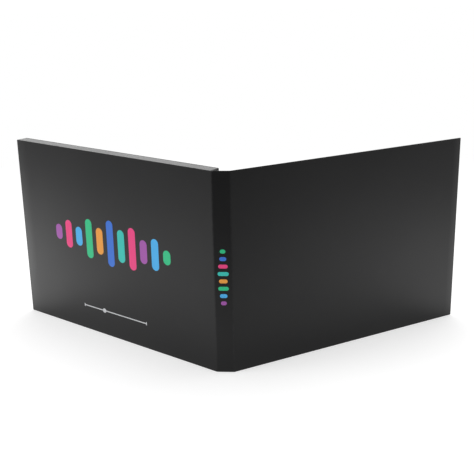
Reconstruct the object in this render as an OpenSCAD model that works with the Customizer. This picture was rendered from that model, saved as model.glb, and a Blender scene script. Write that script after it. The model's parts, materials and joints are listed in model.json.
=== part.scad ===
// A card video brochure standing open on its bottom edges.
// The thick back case holds the screen and the electronics.
// A creased spine joins it to the thin front cover.
// Millimetres, +Z up. X runs along the spine's width and +Y points into the opening.

/* [Opening] */
// Turn of each fold away from flat as the brochure stands, in degrees
open_turn = 33.6; // [24:0.2:48]

/* [Covers] */
// Width of each cover from its fold line to its fore edge
cover_w = 210; // [204:1:230]
// Height of the covers and the spine
cover_h = 152; // [149:1:170]
// Thickness of the printed outer card
card_t = 0.5; // [0.4:0.05:0.65]
// Thickness of the card glued inside the front cover
liner_t = 0.6; // [0.5:0.05:0.9]
// Thickness of the strip that stiffens the spine
spine_liner_t = 0.4; // [0.3:0.05:0.6]
// Air between boards that fold against each other
fold_gap = 0.3; // [0.3:0.05:0.5]
// Air between the inner page and the closed front cover
closed_gap = 1.9; // [1.5:0.1:3]
// Diameter of the magnet in the front cover
magnet_d = 8; // [6:0.5:10]
// Thickness of that magnet
magnet_t = 0.4; // [0.3:0.05:0.45]

/* [Case] */
// Thickness of the case from the outer card to the inner page
case_t = 10; // [10:0.1:12]
// Thickness of the inner page
page_t = 0.9; // [0.7:0.05:1]
// Thickness of the folded side walls
wall_t = 0.8; // [0.6:0.05:1]
// Width of the glue flaps under the inner page
flap_w = 3.5; // [3:0.1:5]
// Thickness of the card that the electronics are stuck to
base_t = 0.8; // [0.6:0.05:1]
// Air between pieces that lie side by side inside the case
fit_gap = 0.3; // [0.2:0.05:0.4]

/* [Screen] */
// Width of the screen module
lcd_w = 165; // [162:0.5:168]
// Height of the screen module
lcd_h = 100; // [98:0.5:102]
// Thickness of the screen module
lcd_t = 4; // [3.6:0.1:4.2]
// Border of the module beside and above the picture area
lcd_border = 5.4; // [4:0.1:7]
// Border of the module under the picture area
lcd_chin = 8.6; // [7:0.1:10]
// Thickness of the steel of the module's frame
bezel_t = 0.4; // [0.3:0.05:0.5]
// Thickness of the screen glass
glass_t = 1.4; // [1:0.1:1.6]
// Thickness of the adhesive frame that holds the module to the page
tape_t = 0.3; // [0.2:0.05:0.4]
// Width of the screen's flat cable
flex_w = 20; // [16:1:22]

/* [Buttons] */
// Diameter of the button caps
button_d = 9; // [7:0.5:10]
// Distance between button centres
button_pitch = 15; // [13:0.5:15.5]
// Height of the button centres above the bottom edge
button_z = 17; // [16:0.5:19]
// Height of the caps above the page
button_rise = 0.8; // [0.5:0.1:0.9]
// Thickness of the rim that keeps a cap under the page
rim_t = 0.7; // [0.5:0.1:0.8]
// Air round a cap in its hole
button_gap = 0.3; // [0.2:0.05:0.5]
// Diameter of the stem under a cap
stem_d = 3; // [2.4:0.1:3.4]
// Depth that a stem reaches into its switch
stem_reach = 1.1; // [0.8:0.1:1.3]

/* [Electronics] */
// Thickness of the circuit boards
board_t = 1; // [0.8:0.1:1.2]
// Thickness of the pads under the circuit boards
pad_t = 0.4; // [0.3:0.05:0.5]
// Height of the main board
main_h = 24; // [23:0.5:28]
// Distance between the main board and the button board
board_gap = 4; // [3:0.5:6]
// Height of the button board
key_h = 13; // [11:0.5:14]
// Height of the switches above the button board
switch_h = 3.4; // [3:0.1:3.6]
// Width of the charging socket's mouth shell
usb_w = 7.6; // [7.2:0.1:9]
// Height of the charging socket's mouth shell
usb_h = 2.7; // [2.5:0.1:3.3]
// Depth of the charging socket
usb_d = 5.6; // [5:0.1:7]
// Width of the battery
battery_w = 80; // [60:1:90]
// Height of the battery
battery_h = 50; // [40:1:60]
// Thickness of the battery
battery_t = 2.2; // [1.8:0.1:2.8]
// Distance of the battery's middle from the screen's, toward the spine
battery_shift = 30; // [20:1:34]
// Diameter of the speaker
speaker_d = 28; // [24:0.5:30]
// Depth of the speaker's frame
speaker_t = 3.6; // [3.2:0.1:4.2]
// Thickness of the foam ring between the speaker and the page
gasket_t = 0.6; // [0.4:0.1:0.8]
// Distance between the button board and the speaker, which the speaker's leads cross
speaker_run = 16; // [10:1:20]
// Diameter of the leads
lead_d = 0.9; // [0.7:0.1:1]

/* [Hidden] */
$fn = 48;

card_black = "#303032";
foam_grey = "#55565a";
board_green = "#1f5b3a";
steel = "#b4b6ba";
nylon = "#ece7da";
chip_black = "#202124";

// How far the boards stop short of a fold line, so that they clear each other when it is folded square
panel_setback = card_t + fold_gap;
case_setback = card_t + spine_liner_t + fold_gap;
spine_liner_setback = card_t + liner_t + fold_gap;
spine_w = case_t + closed_gap + liner_t + card_t;
crease_r = panel_setback / tan(open_turn / 2);
depth = cover_w * sin(open_turn) + case_t * cos(open_turn);

// Heights in the case, counted from the outer face of the back cover
base_y = card_t + base_t;
board_y = base_y + pad_t;
parts_y = board_y + board_t;
page_y = case_t - page_t;
lcd_y = page_y - tape_t;
lcd_back_y = lcd_y - lcd_t;

// Places in the case, counted from the fore edge and from the bottom edge
page_w = cover_w - case_setback;
page_mid = page_w / 2;
inner_edge = wall_t + fit_gap;
main_lift = 4.2;
main_z = wall_t + main_lift;
main_top = main_z + main_h;
lcd_z = main_top + (cover_h - main_top - lcd_h) / 2;
lcd_x = page_mid - lcd_w / 2;
view_w = lcd_w - 2 * lcd_border;
view_h = lcd_h - lcd_border - lcd_chin;
view_x = lcd_x + lcd_border;
view_z = lcd_z + lcd_chin;
tape_back = 1;

// The buttons are centred under the screen, and their board runs on to the speaker's connector
button_count = 5;
button_x = [for (i = [0 : button_count - 1]) page_mid + (i - (button_count - 1) / 2) * button_pitch];
switch_side = 6;
switch_floor = 1;
connector_w = 6;
connector_h = 4.4;
connector_t = 3;
board_edge = 1;
key_end = 4;
key_x = button_x[0] - switch_side / 2 - key_end;
key_right = button_x[button_count - 1] + switch_side / 2 + key_end + connector_h + 2 * board_edge;
key_z = button_z - key_h / 2;
ribbon_w = 8;
ribbon_lap = 3;
flat_t = 0.3;
led_side = 1.6;
led_t = 0.8;
led_pipe_d = 2;
led_x = key_x + led_side;
led_z = button_z + key_h / 2 - led_side;
speaker_connector_x = key_right - board_edge - connector_h;

// The main board reaches from the fore edge to the button board
main_back = 0.8;
main_x = wall_t + main_back;
main_end = key_x - board_gap;
board_hole_d = 2.2;
hole_inset = 3;
flex_socket_h = 4;
flex_socket_t = 1.6;
flex_socket_edge = 1.5;
flex_x = main_end - board_edge - flex_socket_edge - flex_w;
flex_socket_z = main_top - board_edge - flex_socket_h;
battery_connector_x = flex_x - 2 * flex_socket_edge - connector_w;
connector_z = main_top - board_edge - connector_h;
processor_side = 10;
processor_x = battery_connector_x - connector_h;
memory_x = flex_x + board_edge;
memory_w = 9;
memory_h = 12;
chip_gap = 2;
capacitor_x = memory_x + memory_w + 2 * chip_gap;
capacitor_w = 2;
capacitor_h = 1.2;
capacitor_pitch = 3;
coil_side = 5;
coil_x = processor_x - coil_side - chip_gap;
chip_z = main_z + connector_w;
chip_t = 1;
usb_z = button_z;
usb_out = 0.5;
shell_t = 0.3;
port_gap = 0.25;
reed_l = 10;
reed_d = 1.8;
reed_foot = 2.4;
reed_x = main_x + reed_l + connector_w;
reed_z = main_z + hole_inset;

speaker_x = key_right + speaker_run + speaker_d / 2;
speaker_z = flap_w + fit_gap + speaker_d / 2;
speaker_y = page_y - gasket_t - speaker_t;
speaker_rim = 2;
speaker_magnet_d = 15;
speaker_magnet_t = 2;
magnet_lap = 1;
hole_d = 1.6;
hole_step = 3.6;
battery_x = page_mid + battery_shift - battery_w / 2;
battery_z = lcd_z + lcd_h / 2 - battery_h / 2;
battery_pad_t = 0.2;
battery_y = base_y + battery_pad_t;
seal_t = 0.4;
tab_d = 5;
protector_t = 1.2;
protector_h = 18;
pad_side = 8;
rim_gap = 0.3;
rim_over = 1.2;
edge_break = 0.25;
stem_gap = 0.2;
lead_gap = 1.6;
lead_y = parts_y + connector_t / 2;

// A block between two opposite corners
module block(low, high) translate(low) cube(high - low);

// A disc or rod that runs along +Y from its place
module rod(place, d, length) translate(place) rotate([-90, 0, 0]) cylinder(d = d, h = length);

// A shape turned about an axis along +Y from radii and depths
module turned(place, outline) translate(place) rotate([-90, 0, 0]) rotate_extrude() polygon(outline);

// The three stiff bodies in their standing places
module in_case()
    translate([-spine_w / 2, -depth / 2, 0]) rotate([0, 0, -open_turn])
        translate([-cover_w, 0, 0]) children();
module in_spine() translate([0, -depth / 2, 0]) children();
module in_cover() translate([spine_w / 2, -depth / 2, 0]) rotate([0, 0, open_turn]) children();

// A route with its corners cut at a quarter and three quarters of each leg
function eased(p) = concat(
    [p[0]],
    [for (i = [0 : len(p) - 2], f = [0.25, 0.75])
        if (i + f > 0.5 && i + f < len(p) - 1.5) p[i] + f * (p[i + 1] - p[i])],
    [p[len(p) - 1]]
);
function unit(v) = v / norm(v);
function heading(p, i) = unit(p[min(i + 1, len(p) - 1)] - p[max(i - 1, 0)]);

// A lead of round section along a route that never runs along Y
module lead(route, sides = 8) {
    path = eased(eased(route));
    rings = len(path);
    points = [
        for (i = [0 : rings - 1])
            let (along = heading(path, i), side = unit(cross(along, [0, 1, 0])), up = cross(side, along))
            for (k = [0 : sides - 1])
                path[i] + lead_d / 2 * (cos(360 * k / sides) * side + sin(360 * k / sides) * up)
    ];
    walls = [
        for (i = [0 : rings - 2], k = [0 : sides - 1])
            let (a = i * sides + k, b = i * sides + (k + 1) % sides)
            each [[a, a + sides, b], [b, a + sides, b + sides]]
    ];
    start = [for (k = [1 : sides - 2]) [0, k, k + 1]];
    last = (rings - 1) * sides;
    end = [for (k = [1 : sides - 2]) [last, last + k + 1, last + k]];
    polyhedron(points, concat(walls, start, end));
}

module back_panel() color(card_black) in_case()
    block([0, 0, 0], [cover_w - panel_setback, card_t, cover_h]);

module tray_walls() color(card_black) in_case() difference() {
    block([0, card_t, 0], [page_w, page_y, cover_h]);
    block([wall_t, 0, wall_t], [page_w - wall_t, page_y - wall_t, cover_h - wall_t]);
    block([flap_w, 0, flap_w], [page_w - flap_w, case_t, cover_h - flap_w]);
    block([-1, parts_y - port_gap, usb_z - usb_w / 2 - port_gap],
          [flap_w, parts_y + usb_h + port_gap, usb_z + usb_w / 2 + port_gap]);
}

// Screen window, button holes, lamp hole and a round field of speaker holes
module inner_page() color(card_black) in_case() difference() {
    block([0, page_y, 0], [page_w, case_t, cover_h]);
    block([view_x, 0, view_z], [view_x + view_w, case_t + 1, view_z + view_h]);
    for (x = button_x) rod([x, 0, button_z], button_d + 2 * button_gap, case_t + 1);
    rod([led_x, 0, led_z], led_pipe_d + 2 * stem_gap, case_t + 1);
    for (ring = [0 : 2], k = [0 : max(1, 6 * ring) - 1])
        rod([speaker_x + ring * hole_step * cos(360 * k / max(1, 6 * ring)), 0,
             speaker_z + ring * hole_step * sin(360 * k / max(1, 6 * ring))], hole_d, case_t + 1);
}

module mounting_card() color("#8d8f93") in_case()
    block([inner_edge, card_t, inner_edge], [page_w - inner_edge, base_y, cover_h - inner_edge]);

// Foam fills what the screen, the boards, the speaker and the leads leave free
module foam_spacer() color(foam_grey) in_case() difference() {
    block([inner_edge, base_y, inner_edge],
          [page_w - inner_edge, page_y - wall_t - fit_gap, cover_h - inner_edge]);
    block([lcd_x - fit_gap, 0, lcd_z - fit_gap],
          [lcd_x + lcd_w + fit_gap, case_t, lcd_z + lcd_h + fit_gap]);
    block([-1, 0, main_z - fit_gap], [key_right + fit_gap, case_t, lcd_z]);
    block([key_right, 0, speaker_z - lead_gap], [speaker_x, case_t, speaker_z + speaker_d / 4]);
    rod([speaker_x, 0, speaker_z], speaker_d + 2 * fit_gap, case_t);
}

// Pressed steel frame, open at the back, with a lip round the picture area
module lcd_bezel() color(steel) in_case() difference() {
    block([lcd_x, lcd_back_y, lcd_z], [lcd_x + lcd_w, lcd_y, lcd_z + lcd_h]);
    block([lcd_x + bezel_t, 0, lcd_z + bezel_t],
          [lcd_x + lcd_w - bezel_t, lcd_y - bezel_t, lcd_z + lcd_h - bezel_t]);
    block([view_x, 0, view_z], [view_x + view_w, case_t, view_z + view_h]);
}

// A layer that lies inside the screen module's frame
module lcd_layer(y, t) in_case()
    block([lcd_x + bezel_t + fit_gap, y, lcd_z + bezel_t + fit_gap],
          [lcd_x + lcd_w - bezel_t - fit_gap, y + t, lcd_z + lcd_h - bezel_t - fit_gap]);

module lcd_glass() color("#0d0f13") lcd_layer(lcd_y - bezel_t - glass_t, glass_t);
module light_guide() color("#f2f3f4")
    lcd_layer(lcd_back_y + bezel_t, lcd_t - 2 * bezel_t - glass_t);
module lcd_back_plate() color(steel) lcd_layer(lcd_back_y, bezel_t);

module lcd_tape() color("#1b1b1d") in_case() difference() {
    block([lcd_x + fit_gap, lcd_y, lcd_z + fit_gap],
          [lcd_x + lcd_w - fit_gap, page_y, lcd_z + lcd_h - fit_gap]);
    block([view_x - tape_back, 0, view_z - tape_back],
          [view_x + view_w + tape_back, case_t, view_z + view_h + tape_back]);
}

// The flat cable leaves the back of the screen module and bends down into its socket
flex_low_y = parts_y + flex_socket_t / 2;
flex_bend = [
    [flex_low_y, main_top - board_edge],
    [flex_low_y, main_top],
    [lcd_back_y - flat_t, lcd_z + board_edge],
    [lcd_back_y - flat_t, lcd_z + flex_socket_h + board_edge]
];
module lcd_flex() color("#c07a2c") in_case() translate([flex_x, 0, 0])
    rotate([90, 0, 90]) linear_extrude(flex_w)
        polygon(concat(flex_bend, [for (i = [len(flex_bend) - 1 : -1 : 0]) flex_bend[i] + [flat_t, 0]]));

module board(x, z, w, h) block([x, board_y, z], [x + w, parts_y, z + h]);
module chip(x, z, w, h, t) in_case() block([x, parts_y, z], [x + w, parts_y + t, z + h]);

module main_board() color(board_green) in_case() difference() {
    board(main_x, main_z, main_end - main_x, main_h);
    for (x = [main_x + hole_inset, main_end - hole_inset])
        rod([x, 0, main_z + hole_inset], board_hole_d, case_t);
}
module processor_chip() color(chip_black) chip(processor_x, chip_z, processor_side, processor_side, chip_t);
module memory_chip() color(chip_black) chip(memory_x, chip_z, memory_w, memory_h, chip_t);
module power_coil() color("#4a4b50") chip(coil_x, chip_z + chip_gap, coil_side, coil_side, 2 * chip_t);
module board_capacitors() color("#b08c5a")
    for (i = [0 : 3]) chip(capacitor_x, chip_z + i * capacitor_pitch, capacitor_w, capacitor_h, chip_t);
module reed_switch() color("#cfd6d2") in_case() {
    wire = reed_d / 3;
    translate([reed_x - reed_l / 2, parts_y + reed_d / 2, reed_z]) rotate([0, 90, 0])
        cylinder(d = reed_d, h = reed_l);
    for (x = [reed_x - reed_l / 2 - reed_foot, reed_x + reed_l / 2])
        block([x, parts_y, reed_z - wire / 2],
              [x + reed_foot, parts_y + reed_d / 2 + wire / 2, reed_z + wire / 2]);
}
module flex_socket() color(nylon)
    chip(flex_x - flex_socket_edge, flex_socket_z,
         flex_w + 2 * flex_socket_edge, flex_socket_h, flex_socket_t);

// Steel shell with a mouth toward the fore edge and a contact tongue inside
module usb_socket() color(steel) in_case() {
    tongue_t = usb_h - 7 * shell_t;
    difference() {
        block([usb_out, parts_y, usb_z - usb_w / 2], [usb_out + usb_d, parts_y + usb_h, usb_z + usb_w / 2]);
        block([-1, parts_y + shell_t, usb_z - usb_w / 2 + shell_t],
              [usb_out + usb_d - shell_t, parts_y + usb_h - shell_t, usb_z + usb_w / 2 - shell_t]);
    }
    block([usb_out + 2 * shell_t, parts_y + usb_h / 2 - tongue_t / 2, usb_z - usb_w / 4],
          [usb_out + usb_d - shell_t, parts_y + usb_h / 2 + tongue_t / 2, usb_z + usb_w / 4]);
}
module battery_connector() color(nylon)
    chip(battery_connector_x, connector_z, connector_w, connector_h, connector_t);
module speaker_connector() color(nylon)
    chip(speaker_connector_x, speaker_z - connector_w / 2, connector_h, connector_w, connector_t);

module key_board() color(board_green) in_case() board(key_x, key_z, key_right - key_x, key_h);
module tact_switches() color(chip_black) in_case() for (x = button_x) difference() {
    block([x - switch_side / 2, parts_y, button_z - switch_side / 2],
          [x + switch_side / 2, parts_y + switch_h, button_z + switch_side / 2]);
    rod([x, parts_y + switch_floor, button_z], stem_d + 2 * stem_gap, switch_h);
}
module key_ribbon() color("#d9dadd") in_case()
    block([main_end - ribbon_lap, parts_y, button_z - ribbon_w / 2],
          [key_x + ribbon_lap, parts_y + flat_t, button_z + ribbon_w / 2]);
module status_led() color("#f4f0da")
    chip(led_x - led_side / 2, led_z - led_side / 2, led_side, led_side, led_t);
module led_pipe() color("#dfe6ea") in_case()
    rod([led_x, parts_y + led_t, led_z], led_pipe_d, case_t - parts_y - led_t);

// Sticky foam pads between the boards and the card
module board_pads() color(foam_grey) in_case() {
    for (x = [main_x + pad_side, main_end - 2 * pad_side],
         z = [main_z + board_edge, main_top - board_edge - pad_side])
        block([x, base_y, z], [x + pad_side, board_y, z + pad_side]);
    for (x = [key_x + board_edge, key_right - board_edge - pad_side])
        block([x, base_y, button_z - pad_side / 2], [x + pad_side, board_y, button_z + pad_side / 2]);
}

// Flat pouch with a thin seal along its fore end
module battery_cell() color("#c9ccd1") in_case() {
    block([battery_x, battery_y, battery_z],
          [battery_x + battery_w, battery_y + battery_t, battery_z + battery_h]);
    block([battery_x - tab_d, battery_y, battery_z + board_edge],
          [battery_x, battery_y + seal_t, battery_z + battery_h - board_edge]);
}
protector_z = battery_z + battery_h / 2 - protector_h / 2;
module battery_protector() color(board_green) in_case()
    block([battery_x - tab_d, battery_y + seal_t, protector_z],
          [battery_x - board_edge, battery_y + seal_t + protector_t, protector_z + protector_h]);
module battery_pad() color("#1b1b1d") in_case()
    block([battery_x + board_edge, base_y, battery_z + board_edge],
          [battery_x + battery_w - board_edge, battery_y, battery_z + battery_h - board_edge]);

// Two leads from the battery's protection board, behind the screen, to their connector
module battery_leads() color("#b3261e") in_case() for (i = [0, 1]) {
    y = battery_y + seal_t + lead_d / 2;
    plug = battery_connector_x + connector_w / 2 + (0.5 - i) * lead_gap;
    start = battery_x - tab_d;
    z = protector_z + protector_h / 4 + i * 2 * lead_gap;
    turn = connector_w;
    lead([
        [start, y, z], [start - turn, y, z], [plug + 2 * turn, y, z], [plug + turn, y, z],
        [plug, y, z - turn], [plug, y, z - 2 * turn], [plug, y, lcd_z + turn / 2],
        [plug, y, lcd_z - lead_d], [plug, lead_y, main_top], [plug, lead_y, connector_z + connector_h]
    ]);
}

// Round frame with a thin floor, its cone and its magnet
module speaker_frame() color(steel) in_case() {
    out = speaker_d / 2;
    inside = out - speaker_rim;
    lap = speaker_magnet_d / 2 - magnet_lap;
    turned([speaker_x, speaker_y, speaker_z], [
        [lap, 0], [inside, 0], [out, speaker_t / 2], [out, speaker_t], [inside, speaker_t],
        [inside, 0.7 * speaker_t], [inside - 1, seal_t], [lap, seal_t]
    ]);
}
module speaker_cone() color("#26272a") in_case() {
    out = speaker_d / 2 - speaker_rim;
    turned([speaker_x, speaker_y, speaker_z], [
        [0, 0.6 * speaker_t], [out / 4, 0.5 * speaker_t], [out / 3, 0.3 * speaker_t],
        [out - 1, 0.82 * speaker_t], [out, 0.82 * speaker_t], [out, 0.96 * speaker_t],
        [out - 1, 0.94 * speaker_t], [out / 3, 0.44 * speaker_t],
        [out / 4, 0.64 * speaker_t], [0, 0.74 * speaker_t]
    ]);
}
module speaker_magnet() color(steel) in_case()
    rod([speaker_x, speaker_y - speaker_magnet_t, speaker_z], speaker_magnet_d, speaker_magnet_t);
module speaker_gasket() color(foam_grey) in_case() difference() {
    rod([speaker_x, page_y - gasket_t, speaker_z], speaker_d, gasket_t);
    rod([speaker_x, 0, speaker_z], speaker_d - 2 * speaker_rim, case_t);
}

// Two leads from the button board's end to the speaker's side
module speaker_leads() color("#b3261e") in_case() for (i = [0, 1]) {
    z = speaker_z + (i - 0.5) * lead_gap;
    to_z = speaker_z + i * 1.5 * lead_gap;
    start = speaker_connector_x + connector_h;
    reach = speaker_x - sqrt(pow(speaker_d / 2, 2) - pow(to_z - speaker_z, 2)) - start;
    y = speaker_y + speaker_t - lead_d;
    lead([
        [start, lead_y, z], [start + 0.2 * reach, lead_y, z],
        [start + 0.5 * reach, (lead_y + y) / 2, (z + to_z) / 2],
        [start + 0.8 * reach, y, to_z], [start + reach, y, to_z]
    ]);
}

// A cap with a rim under the page and a stem that reaches into its switch
module button(i) color("#c9ccd0") in_case() {
    rim_y = page_y - rim_gap - rim_t;
    stem = rim_y - (parts_y + switch_h - stem_reach);
    top = case_t + button_rise - rim_y;
    turned([button_x[i], rim_y, button_z], [
        [0, -stem], [stem_d / 2, -stem], [stem_d / 2, 0], [button_d / 2 + rim_over, 0],
        [button_d / 2 + rim_over, rim_t], [button_d / 2, rim_t], [button_d / 2, top - edge_break],
        [button_d / 2 - edge_break, top], [0, top]
    ]);
}
// The reader sees the fore edge on the right, so the row counts down from the spine's end
module volume_down_button() button(4);
module previous_button() button(3);
module play_button() button(2);
module next_button() button(1);
module volume_up_button() button(0);

// A bent strip of the outer card, tangent to the boards on both sides of a fold
module crease(x, from) color(card_black) in_spine() translate([x, crease_r, 0]) rotate([0, 0, from])
    rotate_extrude(angle = open_turn) translate([crease_r - card_t, 0]) square([card_t, cover_h]);
module rear_crease() crease(-spine_w / 2 + panel_setback, -90 - open_turn);
module front_crease() crease(spine_w / 2 - panel_setback, -90);

module spine_panel() color(card_black) in_spine()
    block([-spine_w / 2 + panel_setback, 0, 0], [spine_w / 2 - panel_setback, card_t, cover_h]);
module spine_liner() color(card_black) in_spine()
    block([-spine_w / 2 + spine_liner_setback, card_t, 0],
          [spine_w / 2 - spine_liner_setback, card_t + spine_liner_t, cover_h]);

// The magnet lies in the glued card, over the reed switch when the cover is shut
magnet_x = cover_w - reed_x;
magnet_gap = 0.1;
module front_panel() color(card_black) in_cover()
    block([panel_setback, 0, 0], [cover_w, card_t, cover_h]);
module front_liner() color(card_black) in_cover() difference() {
    block([panel_setback, card_t, 0], [cover_w, card_t + liner_t, cover_h]);
    rod([magnet_x, 0, reed_z], magnet_d + 2 * magnet_gap, card_t + magnet_t + magnet_gap / 2);
}
module cover_magnet() color(steel) in_cover() rod([magnet_x, card_t, reed_z], magnet_d, magnet_t);

back_panel();
tray_walls();
inner_page();
mounting_card();
foam_spacer();
lcd_bezel();
lcd_glass();
light_guide();
lcd_back_plate();
lcd_tape();
lcd_flex();
main_board();
processor_chip();
memory_chip();
power_coil();
board_capacitors();
reed_switch();
flex_socket();
usb_socket();
battery_connector();
speaker_connector();
key_board();
tact_switches();
key_ribbon();
status_led();
led_pipe();
board_pads();
battery_cell();
battery_protector();
battery_pad();
battery_leads();
speaker_frame();
speaker_cone();
speaker_magnet();
speaker_gasket();
speaker_leads();
volume_down_button();
previous_button();
play_button();
next_button();
volume_up_button();
rear_crease();
spine_panel();
spine_liner();
front_crease();
front_panel();
front_liner();
cover_magnet();
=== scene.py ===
import json
import math

import bpy
import numpy as np
from bpy.props import FloatProperty, FloatVectorProperty, PointerProperty
from mathutils import Matrix


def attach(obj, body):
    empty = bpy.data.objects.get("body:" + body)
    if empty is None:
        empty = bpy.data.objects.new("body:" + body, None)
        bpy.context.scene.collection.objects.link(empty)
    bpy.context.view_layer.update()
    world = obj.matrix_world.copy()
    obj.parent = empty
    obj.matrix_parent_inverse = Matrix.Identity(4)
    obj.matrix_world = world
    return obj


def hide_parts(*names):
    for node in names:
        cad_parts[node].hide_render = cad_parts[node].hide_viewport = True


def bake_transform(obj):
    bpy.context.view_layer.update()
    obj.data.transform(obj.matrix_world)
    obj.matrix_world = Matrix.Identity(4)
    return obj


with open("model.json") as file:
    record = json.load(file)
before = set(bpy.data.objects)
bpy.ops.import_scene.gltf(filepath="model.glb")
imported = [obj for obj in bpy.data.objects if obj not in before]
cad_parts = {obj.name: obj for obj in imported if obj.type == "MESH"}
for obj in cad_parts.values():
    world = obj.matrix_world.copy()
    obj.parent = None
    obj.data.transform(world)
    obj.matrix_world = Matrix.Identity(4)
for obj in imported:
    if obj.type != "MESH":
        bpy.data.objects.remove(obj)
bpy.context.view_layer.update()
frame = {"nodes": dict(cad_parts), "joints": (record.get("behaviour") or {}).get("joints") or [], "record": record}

bl_info = {
    "name": "Video Brochure Dressing",
    "version": (1, 0, 0),
    "blender": (4, 5, 0),
    "location": "3D View > Sidebar > Brochure",
    "description": "Builds the card, screen, buttons and print of a video brochure round its CAD frame",
    "category": "Object",
}

MM = 0.001
JOINTS = {j["name"]: j for j in frame["joints"]}
REAR_FOLD = np.array(JOINTS["rear_fold"]["pos_m"])
FRONT_FOLD = np.array(JOINTS["front_fold"]["pos_m"])
PRESS_AXIS = JOINTS["play_press"]["axis"]
# Turn of each cover away from the spine as the brochure stands
OPEN_TURN = math.atan2(-PRESS_AXIS[0], -PRESS_AXIS[1])
BUTTONS = ("volume_down", "previous", "play", "next", "volume_up")

# Sizes that the outsides of the CAD nodes don't give, under the names of the part's source
FIT_GAP = 0.3 * MM  # between the case's walls and the board inside them
FLAP_W = 3.5 * MM  # glue flaps under the page
LCD_BORDER = 5.4 * MM  # screen module beside and above its picture area
LCD_CHIN = 8.6 * MM  # screen module under its picture area
BUTTON_GAP = 0.3 * MM  # round a cap in its hole
RIM_T = 0.7 * MM  # thickness of the rim that keeps a cap under the page
RIM_GAP = 0.3 * MM  # between that rim and the page
RIM_OVER = 1.2 * MM  # reach of that rim round the cap
STEM_D = 3.0 * MM  # stem under a cap
STEM_GAP = 0.2 * MM  # round the light pipe in its hole
HOLE_D = 1.6 * MM  # speaker holes
HOLE_STEP = 3.6 * MM  # between their rings
PORT_GAP = 0.25 * MM  # round the charging socket in its slot
SHELL_T = 0.3 * MM  # wall of the socket's shell

SMALL_EDGE = 0.1 * MM  # rounding of small edges
NO_EDGE = 0.01 * MM  # radius of an edge or corner that stays sharp
AXIS_R = 0.02 * MM  # radius at which a turned profile ends at its axis
SUNK = 0.02 * MM  # depth of a film or ink in what carries it
THROUGH = 1 * MM  # how far a cutter passes through what it cuts

# Local directions that an outline's two coordinates and its height take: x, z and y on a card, and y, z and x
# in the fore edge
ON_CARD = (0, 2, 1)
IN_FORE_EDGE = (1, 2, 0)


class Place:
    """A body's own directions as it stands: x along the card, y from its outer face inward and z up."""

    def __init__(self, body, origin, turn):
        self.body, self.origin, self.turn = body, np.array(origin, float), turn
        c, s = math.cos(turn), math.sin(turn)
        self.axes = np.array([[c, s, 0], [-s, c, 0], [0, 0, 1]])

    def out(self, points):
        """Local points, turned about Z and moved to the body's fold line."""
        return points @ self.axes + self.origin

    def back(self, points):
        """Points of the frame as local points, moved and turned the other way."""
        return (points - self.origin) @ self.axes.T

    def span(self, node):
        """Lowest and highest corner of a CAD node along the body's own directions."""
        vertices = frame["nodes"][node].data.vertices
        flat = np.empty(len(vertices) * 3)
        vertices.foreach_get("co", flat)
        local = self.back(flat.reshape(-1, 3))
        return local.min(0), local.max(0)

    def middle(self, node):
        """Middle of a CAD node, halfway between its two corners."""
        low, high = self.span(node)
        return (low + high) / 2


# x is 0 at the fold line of each cover, and runs from minus the cover's width in the case
CASE = Place("case", REAR_FOLD, -OPEN_TURN)
SPINE = Place("spine", (0, REAR_FOLD[1], 0), 0)
COVER = Place("front_cover", FRONT_FOLD, OPEN_TURN)


# Settings


class WrapSettings(bpy.types.PropertyGroup):
    card_color: FloatVectorProperty(name="Card", description="Colour of the laminated card", subtype="COLOR",
                                    default=(0.0065, 0.0065, 0.007), min=0, max=1)
    worn_color: FloatVectorProperty(name="Worn card", description="Colour of card rubbed at folds and edges",
                                    subtype="COLOR", default=(0.03, 0.03, 0.031), min=0, max=1)
    # Cut edges: the card's grey core, made lighter as a painted sheen along the edges
    fibre_and_sheen_color: FloatVectorProperty(name="Cut edge", description="Colour of the fibres along the cut edges",
                                     subtype="COLOR", default=(0.15, 0.15, 0.148), min=0, max=1)
    roughness: FloatProperty(name="Roughness", description="Roughness of the satin laminate", default=0.36,
                             min=0.1, max=0.9)
    edge: FloatProperty(name="Edge", description="Radius along the card's edges", default=0.18 * MM,
                        unit="LENGTH")
    corner: FloatProperty(name="Corner", description="Radius of the covers' outer corners", default=0.7 * MM,
                          unit="LENGTH")
    lining_step: FloatProperty(name="Lining step", description="Distance from a cover's edge to its lining's",
                               default=0.25 * MM, unit="LENGTH")
    ink: FloatProperty(name="Ink", description="Thickness of the printed ink", default=0.03 * MM,
                       unit="LENGTH")


class CaseSettings(bpy.types.PropertyGroup):
    corner: FloatProperty(name="Corner", description="Radius of the case's upright corners", default=0.6 * MM,
                          unit="LENGTH")
    fold: FloatProperty(name="Fold", description="Radius of the fold between a wall and its flap",
                        default=0.6 * MM, unit="LENGTH")
    rim: FloatProperty(name="Rim", description="Width of the bevel round the holes in the page",
                       default=0.16 * MM, unit="LENGTH")
    window_corner: FloatProperty(name="Window corner", description="Radius of the screen window's corners",
                                 default=0.8 * MM, unit="LENGTH")
    film_step: FloatProperty(name="Film step", description="Distance from the window's edge to the picture",
                             default=1.4 * MM, unit="LENGTH")


class ButtonSettings(bpy.types.PropertyGroup):
    color: FloatVectorProperty(name="Cap", description="Colour of the button caps", subtype="COLOR",
                               default=(0.5, 0.51, 0.53), min=0, max=1)
    symbol_color: FloatVectorProperty(name="Symbol", description="Colour of the symbols on the caps",
                                      subtype="COLOR", default=(0.02, 0.02, 0.022), min=0, max=1)
    fillet: FloatProperty(name="Fillet", description="Radius round the top of a cap", default=0.32 * MM,
                          unit="LENGTH")
    symbol: FloatProperty(name="Symbol size", description="Half the height of a symbol", default=1.35 * MM,
                          unit="LENGTH")


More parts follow.
